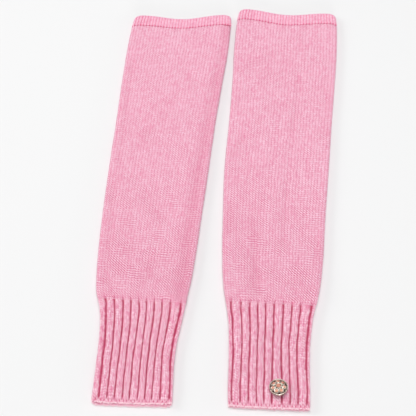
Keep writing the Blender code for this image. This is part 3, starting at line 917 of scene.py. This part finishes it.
cuffSettings = {
    "course": 2.55,
    "wall": 2.6,
    "edgeWall": 2.0,
    "edgeWallLength": 9.0,
    "raised": 0.1,
    "ribbedShare": 0.31,
    "inRib": (
        0.0, 0.04, 0.08, 0.12, 0.17, 0.24, 0.32, 0.41,
        0.5, 0.59, 0.68, 0.76, 0.83, 0.88, 0.92, 0.96,
    ),
    "coarseStep": 5,
    "grooveDepth": 1.15,
    "grooveAt": (0.0, 0.04, 0.08, 0.12, 0.17, 0.24, 0.5),
    "grooveShape": (1.0, 0.82, 0.36, 0.08, 0.01, 0.0, 0.0),
    "grooveRaggedness": 0.2,
    "raggedLimits": (0.6, 1.4),
    "grooveStart": 1.6,
    "grooveRunOut": 4.0,
    "grooveTopFade": 1.6,
    "grooveTopShare": 0.5,
    "ribCrown": 0.9,
    "ribCrest": 0.33,
    "ribShade": 0.12,
    "shadeReach": 0.5,
    "waleMiddle": 0.2,
    "waleEnd": 0.44,
    "waleFade": 0.08,
    "waleDent": 0.26,
    "waleDentWidth": 0.055,
    "legDent": 0.45,
    "legWidth": 0.3,
    "inCourse": (0.0, 0.25, 0.5, 0.77),
    "courseLift": (-0.15, 0.03, 0.05, 0.0),
    "backRelief": 0.4,
    "legSlant": 0.7,
    "stitchUnevenness": 0.06,
    "courseWander": (0.3, 30.0),
    "ribWander": (0.2, 18.0),
    "ribWanderStretch": 0.8,
    "ribWanderStart": 12.0,
    "edgeLength": 5.0,
    "edgeDent": 0.55,
    "edgeLoop": 0.6,
    "edgeShade": 0.15,
    "loopRoundness": 0.8,
    "eyePlace": 0.22,
    "eyeWidth": 0.09,
    "eyeHeight": 2.2,
    "eyeReach": 1.2,
    "eyeDepth": 0.45,
    "eyeShade": 0.95,
    "looseness": 0.4,
    "innerShares": (1.0, 0.8, 0.5, 0.2, 0.09, 0.04, 0.0),
    "waleUnits": ((0.0, 0.1, 0.5, 0.9, 1.0), (-0.5, 0.0, 1.0, 2.0, 2.5)),
    "loopsAt": (0.0, 0.3, 0.7),
    "loopBead": (1.3, 0.52, 0.5),
    "loopInset": 0.75,
    "loopPush": -0.1,
    "loopSpread": 0.55,
    "loopLean": 0.12,
    "loopDroop": 0.25,
}


def makeCuff(side):
    warmer, given = warmers[side], cuffSettings
    start, end = given["edgeWall"] / 2, joinHeight(warmer) + given["raised"]
    courses = round((end - start) / given["course"])
    units, along = courseRows(start, end, courses, given)
    seed, legs = warmer["seed"], layShape["ribs"] * 6

    middles = grooveShares(warmer, 0.0)[0]
    ribbed = np.abs(wrapped(0.5 * (middles[1:] + middles[:-1]))) < given["ribbedShare"]
    coarse = given["inRib"][::given["coarseStep"]]
    places = [given["inRib"] if fine else coarse for fine in ribbed]
    ribs = [rib + at for rib, inRib in enumerate(places) for at in inRib]
    rib = np.floor(ribs).astype(int)
    at = np.array(ribs) - rib
    onRib = ribbed[rib].astype(float)

    def waysAt(section, along):
        grooves = grooveShares(warmer, along)
        share = wrapped(grooves[:, rib] + at * (grooves[:, rib + 1] - grooves[:, rib]))
        return share * 2 * halfGirth(section)

    def backReach(along):
        return warmer["backReach"] * (1 - softStep(along / layShape["backReachFade"]))

    # The purl wale is the groove between two ribs, and two knit wales stand out between grooves
    section = sectionAt(warmer, along)
    way = waysAt(section, along)
    back = undersideShare(section, way)
    widths = np.ones(layShape["ribs"] + 1)
    widths[:len(warmer["grooveWidths"])] = warmer["grooveWidths"]
    chance = np.random.default_rng(seed + 4)
    ragged = chance.normal(1.0, given["grooveRaggedness"], (courses + 1, len(widths)))
    ragged = np.clip(ragged, *given["raggedLimits"])
    nearest = rib + (at > 0.5)
    width = widths[nearest] * ragged[np.floor(units).astype(int), nearest]
    fromGroove = np.minimum(at, 1 - at) / width
    groove = np.interp(fromGroove, given["grooveAt"], given["grooveShape"]) * onRib
    runOut = softStep((along - given["grooveStart"]) / given["grooveRunOut"])
    topFade = softStep((end - along) / given["grooveTopFade"] + given["grooveTopShare"])
    relief = runOut * topFade * (1 - back ** 2)
    fromMiddle = np.abs(at - 0.5)
    inLeg = np.abs(fromMiddle - given["waleMiddle"]) / given["waleMiddle"]
    knit = np.clip((given["waleEnd"] - fromMiddle) / given["waleFade"], 0.0, 1.0)
    dent = given["legDent"] * bell(inLeg / given["legWidth"]) * knit
    dent = given["waleDent"] * (bell((at - 0.5) / given["waleDentWidth"]) + dent)
    onLeg = knit * (0.5 + 0.5 * bell((inLeg - 0.5) / given["legWidth"]))
    crest = given["ribCrest"]
    crown = np.where(at < crest, (crest - at) / crest, (at - crest) / (1 - crest)) ** 2
    crown = given["ribCrown"] * crown * onRib
    firmness = given["backRelief"] + (1 - given["backRelief"]) * onRib
    rise = -given["grooveDepth"] * groove * relief - (crown + dent * onRib) * runOut
    rise = rise + courseLifts(units, given) * onLeg * firmness
    luck = stitchLuck(seed + 5, courses, legs, units, rib * 6 + np.floor(at * 6).astype(int))
    rise = rise + given["stitchUnevenness"] * luck * onLeg

    # By the cast-on edge every wale is its own loop
    edge = 1 - softStep(along / given["edgeLength"])
    waleUnit = np.interp(at, *given["waleUnits"])
    loop = np.abs(np.sin(math.pi * waleUnit)) ** given["loopRoundness"]
    rise = rise - given["edgeDent"] * (1 - loop) * edge * (1 - back)
    ends = inFromEnds(units, courses)
    push = given["legSlant"] * (inLeg - 0.5) * knit * onRib * given["course"] * ends
    push = push - given["edgeLoop"] * loop * edge * (1 - back)
    push = push + wander(given["courseWander"], way, along, seed + 6) * ends
    ribsUp = along * given["ribWanderStretch"]
    sideways = wander(given["ribWander"], way, ribsUp, seed + 7) * (1 - back)
    way = way + sideways * softStep(along / given["ribWanderStart"])
    rise = restFlat(rise, back)
    # Eyes by the edge: small dents with painted shade
    eyes = bell((fromMiddle - given["eyePlace"]) / given["eyeWidth"])
    eyes = eyes * bell((along - given["eyeHeight"]) / given["eyeReach"]) * (1 - back)
    rise = rise - given["eyeDepth"] * eyes
    # Painted shade on each rib's right side, away from the light
    shade = softStep((at - crest) / given["shadeReach"]) * onRib
    # Painted shade in the grooves, on the ribs' right sides and in the eyes by the edge
    sunk = groove * relief + given["ribShade"] * shade * relief + given["eyeShade"] * eyes
    outer = layPoints(warmer, section, way, rise, push, backReach(along))

    innerUnits, innerAlong = innerRows(start, end, courses, given)
    innerSection = sectionAt(warmer, innerAlong)
    innerWay = waysAt(innerSection, innerAlong)
    thickening = softStep(innerAlong / given["edgeWallLength"])
    inset = -given["edgeWall"] - (given["wall"] - given["edgeWall"]) * thickening
    inner = layPoints(warmer, innerSection, innerWay, inset, 0.0, backReach(innerAlong))

    # Round the free edge from the inner face to the outer one
    radius = given["edgeWall"] / 2
    angles = np.radians(layShape["edgeAngles"])[::-1, None]
    edgeAlong = radius * (1 - np.sin(angles))
    edgeSection = sectionAt(warmer, edgeAlong)
    edgeWay = waysAt(edgeSection, edgeAlong)
    edgeFront = 1 - undersideShare(edgeSection, edgeWay)
    inset = radius * (1 - np.cos(angles))
    outward = 1 - inset / given["edgeWall"]
    edgeRise = -inset - given["edgeDent"] * (1 - loop) * outward * edgeFront
    edgePush = -given["edgeLoop"] * loop * edgeFront * np.sqrt(np.maximum(outward, 0.0))
    rim = layPoints(warmer, edgeSection, edgeWay, edgeRise, edgePush, warmer["backReach"])
    # Painted shade between the loops on the rounded edge, strongest on the outer face
    rimShade = given["edgeShade"] * (1 - loop) * outward

    parts = (outer, inner, rim)
    marks = {"sunk": (sunk, 0.0, rimShade), "loose": (given["looseness"], 0.0, 0.0)}
    acrossUnits = np.append(rib * 3 + waleUnit, layShape["ribs"] * 3 - 0.5)
    upUnits = (units, innerUnits, 2 * courses + 1.5 + np.arange(len(angles) + 1) * 0.3)
    piece = rollWall(side + "Cuff", parts, marks, acrossUnits, upUnits, knitMaterials["rib"])
    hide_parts(side + "_cuff")

    # The cast-on loops, each two legs of yarn that meet below a wale
    loopSection = sectionAt(warmer, (0.0,))
    loopRib, loopAt = np.divmod(np.arange(layShape["ribs"] * 3), 3)
    places = np.array(given["loopsAt"])[loopAt]
    share = wrapped(middles[loopRib] + places * (middles[loopRib + 1] - middles[loopRib]))
    loopWay = wayRound(np.sort(share), loopSection)
    spots = spotsOn(
        warmer, loopSection, loopWay, -given["loopInset"], given["loopPush"], warmer["backReach"],
    )
    chance = np.random.default_rng(seed + 8)
    beads = []
    for spot, around, out in spots:
        upward = out.cross(around)
        lean = chance.normal(0.0, given["loopLean"])
        droop = chance.normal(0.0, given["loopDroop"]) * mm
        for turn in (-1, 1):
            place = spot + around * (turn * given["loopSpread"] * mm) - upward * droop
            beads.append((place, upward + around * (0.5 * turn + lean), out, given["loopBead"]))
    # Their yarn is paler than the knit: painted light on the front-facing edge
    chain = addBeads(side + "CastOn", beads, strandMaterials["litEdgeYarn"])
    girths = 2 * halfGirth(sectionAt(warmer, np.linspace(0.0, end, 12))).ravel() * mm
    print(side, "cuff:", courses, "courses,", len(piece.data.polygons), "faces")


for side in warmers:
    makeCuff(side)

hemSettings = {
    "wales": 70,
    "courses": 7,
    "wall": 2.3,
    "raised": 0.05,
    "step": 0.3,
    "fineShare": 0.292,
    "inWale": (0.0, 0.12, 0.3, 0.5, 0.7, 0.88),
    "waleLift": (-0.5, -0.14, 0.14, 0.02, 0.14, -0.14),
    "inCourse": (0.0, 0.3, 0.7),
    "courseLift": (-0.14, 0.03, 0.02),
    "edgeWaleShare": 0.6,
    "seamRounding": 0.3,
    "seamRoundingLength": 1.1,
    "seamShade": 3.8,
    "knotShare": 0.1,
    "tightness": (0.5, 1.5),
    "drawnPlace": 0.82,
    "drawnReach": 9.0,
    "drawnWidth": 0.12,
    "drawnShade": 0.75,
    "drawnDepth": 0.3,
    "innerShade": 0.3,
    "innerUnits": (10.0, 13.0, 16.0, 17.0),
    "linkBead": (0.9, 0.62, 0.5),
    "linkSlant": 0.5,
    "backLinkInset": 0.6,
}


def makeHem(side):
    warmer, given = warmers[side], hemSettings
    start, end = seamHeight(warmer) + given["raised"], warmer["sections"][-1][0]
    top = end - given["wall"] / 2
    wales, share = walePlaces(warmer, given)
    at = wales % 1.0
    units, along = courseRows(start, top, given["courses"], given)

    def thicker(along):
        section = sectionAt(warmer, along)
        for name in ("halfWidth", "middle", "fold"):
            section[name] = section[name] + given["step"]
        return section

    section = thicker(along)
    way = wayRound(share, section)
    waleLift = waleLifts(at, given) * isFine(share, given)
    rounding = seamRound(along - start, given)
    rise = restFlat(waleLift + courseLifts(units, given) - rounding, undersideShare(section, way))
    drawn = bell((way + given["drawnPlace"] * section["halfWidth"]) / given["drawnReach"])
    drawn = drawn * np.where(at < given["drawnWidth"], 1.0, 0.0)
    rise = rise - given["drawnDepth"] * drawn
    chance = np.random.default_rng(warmer["seed"] + 9)
    tightness = chance.uniform(*given["tightness"], given["wales"])
    tightness = tightness[np.floor(wales).astype(int) % given["wales"]]
    # Painted shade in the seam, darkest where two wales meet and varying from wale to wale
    sunk = given["seamShade"] * rounding * tightness * seamKnots(at, given)
    # Painted shade in the drawn-in dent
    sunk = sunk + given["drawnShade"] * drawn
    outer = layPoints(warmer, section, way, rise)

    radius = given["wall"] / 2
    angles = np.radians(layShape["edgeAngles"])[:, None]
    edgeSection = thicker(end - radius * (1 - np.sin(angles)))
    edgeWay = wayRound(share, edgeSection)
    edgeLift = waleLift * given["edgeWaleShare"] * np.sin(angles)
    edgeLift = edgeLift - radius * (1 - np.cos(angles))
    rim = layPoints(warmer, edgeSection, edgeWay, edgeLift)
    innerSection = thicker((top, 0.5 * (top + start), start))
    innerWay = wayRound(share, innerSection)
    inner = layPoints(warmer, innerSection, innerWay, -given["wall"])

    # The inner face gets an even painted shade
    parts, marks = (outer, rim, inner), {"sunk": (sunk, 0.0, given["innerShade"])}
    acrossUnits = np.append(wales, given["wales"])
    rimUnits = given["courses"] + 0.3 * np.arange(1, len(angles) + 1)
    upUnits = (units, rimUnits, given["innerUnits"])
    piece = rollWall(side + "Hem", parts, marks, acrossUnits, upUnits, knitMaterials["hem"])
    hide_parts(side + "_hem")

    # The linking stitches, one for each wale of the front, across the seam
    seamSection = sectionAt(warmer, (seamHeight(warmer),))
    linkShare = (np.arange(given["wales"]) + 0.5) / given["wales"]
    linkShare = wrapped(firstGroove(warmer) + linkShare)
    linkShare = linkShare[np.abs(linkShare) < given["fineShare"]]
    linkWay = wayRound(linkShare, seamSection)
    inset = -given["backLinkInset"] * undersideShare(seamSection, linkWay)
    beads = []
    for spot, around, out in spotsOn(warmer, seamSection, linkWay, inset):
        slanted = out.cross(around) + around * given["linkSlant"]
        beads.append((spot, slanted, out, given["linkBead"]))
    links = addBeads(side + "HemLinks", beads, strandMaterials["linkYarn"])
    width = 2 * float(halfGirth(thicker((start,))).max()) * mm
    print(side, "hem:", len(piece.data.polygons), "faces")


for side in warmers:
    makeHem(side)


# Shapes for the button, in mm, each a list of (radius, height) turned about the upright axis
def turnedShape(profile, steps, closed=True):
    build = bmesh.new()
    points = [build.verts.new((radius * mm, 0.0, height * mm)) for radius, height in profile]
    pairs = list(zip(points, points[1:])) + ([(points[-1], points[0])] if closed else [])
    lines = [build.edges.new(pair) for pair in pairs]
    bmesh.ops.spin(
        build, geom=points + lines, cent=(0, 0, 0), axis=(0, 0, 1), angle=math.tau,
        steps=steps, use_merge=True,
    )
    bmesh.ops.remove_doubles(build, verts=build.verts, dist=1e-7)
    return meshOf(build)


def wireProfile(radius, wire, height, sides=8):
    turns = [math.tau * side / sides for side in range(sides)]
    return [(radius + wire * math.cos(turn), height - wire * math.sin(turn)) for turn in turns]


def beadShape(radius):
    build = bmesh.new()
    bmesh.ops.create_uvsphere(build, u_segments=10, v_segments=6, radius=radius * mm)
    return meshOf(build)


# One piece out of copies of several shapes: each is (mesh, the places of its copies)
def assemble(name, shapes, material, sharpAngle=35.0):
    build = bmesh.new()
    for shape, places in shapes:
        for place in places:
            shape.transform(place)
            build.from_mesh(shape)
            shape.transform(place.inverted())
        bpy.data.meshes.remove(shape)
    bmesh.ops.recalc_face_normals(build, faces=build.faces)
    mesh = meshOf(build, name)
    mesh.shade_smooth()
    mesh.set_sharp_from_angle(angle=math.radians(sharpAngle))
    return addPiece(name, mesh, material)


# Silver is (bright colour, tarnished colour, roughness of each, how much of it is tarnished).
# A ring of wire is (steps round it, its radius, the wire's radius, height). A row of beads is (how
# many, radius of a bead, radius of the row, height). Sizes are in mm.
buttonSettings = {
    "silver": {
        "brightSilver": ((0.9, 0.86, 0.78, 1.0), (0.56, 0.42, 0.35, 1.0), 0.3, 0.6, 0.07),
        "wornSilver": ((0.76, 0.70, 0.62, 1.0), (0.36, 0.25, 0.21, 1.0), 0.36, 0.65, 0.13),
        "agedSilver": ((0.42, 0.31, 0.27, 1.0), (0.14, 0.07, 0.07, 1.0), 0.5, 0.7, 0.08),
        # The last, near black, is painted shade for the beads in the openwork's hollows
        "hollowShade": ((0.07, 0.025, 0.03, 1.0), (0.02, 0.008, 0.01, 1.0), 0.6, 0.8, 0.1),
    },
    "tarnishScale": 520.0,
    "tarnishRange": (0.62, 0.8),
    "scratchScale": 1500.0,
    "scratchBump": (0.25, 0.00006),
    "stoneFinish": {"Coat Weight": 0.6, "IOR": 1.6},
    "stoneColours": ((0.48, 0.15, 0.10, 1.0), (0.80, 0.41, 0.29, 1.0)),
    "cloudScale": 420.0,
    "cloudRange": (0.35, 0.65),
    "grainScale": 2400.0,
    "grainRoughness": (0.04, 0.12),
    "along": 17.0,
    "across": 8.2,
    "lift": 1.924,
    "tilt": 11.0,
    "turn": 16.0,
    "flangeRadius": 8.3,
    "flange": 1.0,
    "domeRadius": 6.9,
    "domeRise": 2.5,
    "domeRoundness": 0.8,
    "domeRings": 12,
    "slopeReach": 0.6,
    "stemRadius": 2.1,
    "stemLength": 1.18,
    "plateSteps": 56,
    "footRing": (56, 7.75, 0.4, 1.3),
    "rimRing": (56, 8.05, 0.38, 1.89),
    "rimBeads": (34, 0.48, 8.05, 2.09),
    "stones": 7,
    "stoneCircle": 4.75,
    "stoneLift": 0.72,
    "stoneRadius": 1.55,
    "centreLift": 0.62,
    "centreRadius": 2.1,
    "stoneShape": [
        (0.0, 0.5), (0.5, 0.5), (0.82, 0.33), (1.0, 0.1), (0.96, -0.08), (0.5, -0.24), (0.0, -0.3),
    ],
    "stoneSteps": (10, 14),
    "facetAngle": 8.0,
    "collar": [(1.62, -0.9), (1.74, -0.9), (1.74, 0.1), (1.64, 0.16), (1.54, 0.1), (1.56, 0.0)],
    "centreCollar": 1.34,
    "collarSteps": (20, 28),
    "claws": (4, 0.2, 1.52, 0.24),
    "crown": (14, 0.36, 2.45, 0.12),
    "stoneRing": (24, 2.02, 0.2, 0.0),
    "stoneRingLift": 0.2,
    "centreRing": (40, 3.15, 0.22, 0.0),
    "centreRingLift": -0.28,
    "outerRecesses": (7, 0.85, 6.5, -0.1),
    "innerRecesses": (7, 0.6, 3.3, 0.05),
    "threadRing": (28, 2.3, 0.34),
    "threadHeights": (-0.35, -0.95, -1.5),
}


def makeSilver(name, bright, tarnished, roughLow, roughHigh, amount):
    given = buttonSettings
    material, tree, shader = newMaterial(name, {"Metallic": 1.0})
    place = objectPlace(tree)
    cloudy = noise(tree, place, given["tarnishScale"], 4.0, 0.65)
    start, end = given["tarnishRange"]
    tarnish = softRange(tree, cloudy, start - amount, end - amount)
    plug(tree, mixColours(tree, tarnish, bright, tarnished), shader.inputs["Base Color"])
    rough = addUp(tree, roughLow, (tarnish, roughHigh - roughLow))
    plug(tree, rough, shader.inputs["Roughness"])
    scratches = noise(tree, stretch(tree, place, (1.0, 6.0, 1.0)), given["scratchScale"], 2.0)
    addBump(tree, shader, scratches, *given["scratchBump"])
    return material


def makeStoneMaterial():
    given = buttonSettings
    material, tree, shader = newMaterial("peachStone", given["stoneFinish"])
    place = objectPlace(tree)
    clouds = noise(tree, place, given["cloudScale"], 3.0, 0.6)
    share = softRange(tree, clouds, *given["cloudRange"])
    plug(tree, mixColours(tree, share, *given["stoneColours"]), shader.inputs["Base Color"])
    smooth, grainy = given["grainRoughness"]
    rough = addUp(tree, smooth, (noise(tree, place, given["grainScale"], 2.0), grainy))
    plug(tree, rough, shader.inputs["Roughness"])
    return material


# Places in a ring about the upright axis of a frame, in mm from it
def ringPlaces(frame, count, radius, height, offset=0.0):
    return [
        frame @ Matrix.Rotation(math.tau * (index + offset) / count, 4, "Z")
        @ Matrix.Translation((radius * mm, 0.0, height * mm))
        for index in range(count)
    ]


def makeButton():
    given = buttonSettings
    silver = {name: makeSilver(name, *values) for name, values in given["silver"].items()}
    right = warmers["right"]
    section = sectionAt(right, (given["along"],))
    crest = layPoints(right, section, np.array([[given["across"]]]), 0.0)[0, 0]
    base = Matrix.Translation(Vector(crest) + Vector((0.0, 0.0, given["lift"] * mm)))
    base = base @ Matrix.Rotation(math.radians(given["turn"]), 4, "Z")
    base = base @ Matrix.Rotation(-math.radians(given["tilt"]), 4, "X")

    def domeHeight(radius):
        share = min(radius / given["domeRadius"], 1.0)
        return given["domeRise"] * math.cos(0.5 * math.pi * share) ** given["domeRoundness"]

    # Frames on the dome, in a ring at this distance from its middle, raised by lift
    def ringOnDome(count, radius, lift, offset=0.5):
        reach = given["slopeReach"]
        slope = math.atan2(domeHeight(radius - reach) - domeHeight(radius + reach), 2 * reach)
        raised = Matrix.Rotation(slope, 4, "Y") @ Matrix.Translation((0.0, 0.0, lift * mm))
        height = given["flange"] + domeHeight(radius)
        return [place @ raised for place in ringPlaces(base, count, radius, height, offset)]

    def wire(ring):
        return turnedShape(wireProfile(*ring[1:]), ring[0])

    edge, stem = given["flange"] / 2, given["stemRadius"]
    profile = [
        (radius, given["flange"] + domeHeight(radius))
        for radius in np.linspace(0.0, given["domeRadius"], given["domeRings"])
    ]
    for turn in np.radians((90, 60, 30, 0, -30, -60, -90)):
        reach = given["flangeRadius"] - edge + edge * math.cos(turn)
        profile.append((reach, edge + edge * math.sin(turn)))
    profile += [(stem, 0.0), (stem, -given["stemLength"]), (0.0, -given["stemLength"])]
    back = assemble("buttonPlate", [
        (turnedShape(profile, given["plateSteps"], closed=False), [base]),
        (wire(given["footRing"]), [base]),
    ], silver["agedSilver"])
    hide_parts("button_plate")

    count, size, *row = given["rimBeads"]
    rim = assemble("buttonRim", [
        (wire(given["rimRing"]), [base]), (beadShape(size), ringPlaces(base, count, *row)),
    ], silver["wornSilver"])
    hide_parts("button_rim")

    # Openwork over the dark dome: a wire ring, a collar and claws for each stone, and grains
    count, circle = given["stones"], given["stoneCircle"]
    stoneSpots = ringOnDome(count, circle, given["stoneLift"])
    centreHeight = given["flange"] + given["domeRise"] + given["centreLift"]
    centre = base @ Matrix.Translation((0.0, 0.0, centreHeight * mm))
    wide = [(radius * given["centreCollar"], height) for radius, height in given["collar"]]
    claws, clawSize, *clawRow = given["claws"]
    grains, grainSize, *crownRow = given["crown"]
    clawPlaces = [place for spot in stoneSpots for place in ringPlaces(spot, claws, *clawRow, 0.5)]
    setting = assemble("buttonSetting", [
        (wire(given["stoneRing"]), ringOnDome(count, circle, given["stoneRingLift"])),
        (turnedShape(given["collar"], given["collarSteps"][0]), stoneSpots),
        (turnedShape(wide, given["collarSteps"][1]), [centre]),
        (wire(given["centreRing"]), ringOnDome(1, 0.0, given["centreRingLift"], 0.0)),
        (beadShape(clawSize), clawPlaces),
        (beadShape(grainSize), ringPlaces(centre, grains, *crownRow)),
    ], silver["brightSilver"])
    # Near-black beads in the hollows between the stones, standing in for shade
    recesses = assemble("buttonRecesses", [
        (beadShape(size), ringOnDome(many, *row, 0.0))
        for many, size, *row in (given["outerRecesses"], given["innerRecesses"])
    ], silver["hollowShade"])

    def stone(radius, steps):
        profile = [(across * radius, height * radius) for across, height in given["stoneShape"]]
        return turnedShape(profile, steps, closed=False)

    small, large = given["stoneSteps"]
    stones = assemble("buttonStones", [
        (stone(given["stoneRadius"], small), stoneSpots),
        (stone(given["centreRadius"], large), [centre]),
    ], makeStoneMaterial(), given["facetAngle"])
    names = ["button_stone_" + str(index + 1) for index in range(count)] + ["button_stone_centre"]
    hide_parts(*names)

    # The thread that holds the stem
    rings = [(*given["threadRing"], height) for height in given["threadHeights"]]
    loops = [(wire(ring), [base]) for ring in rings]
    thread = assemble("buttonThread", loops, strandMaterials["linkYarn"])
    faces = sum(len(piece.data.polygons) for piece in (back, rim, setting, recesses, stones))
    print("button:", faces, "faces")


makeButton()
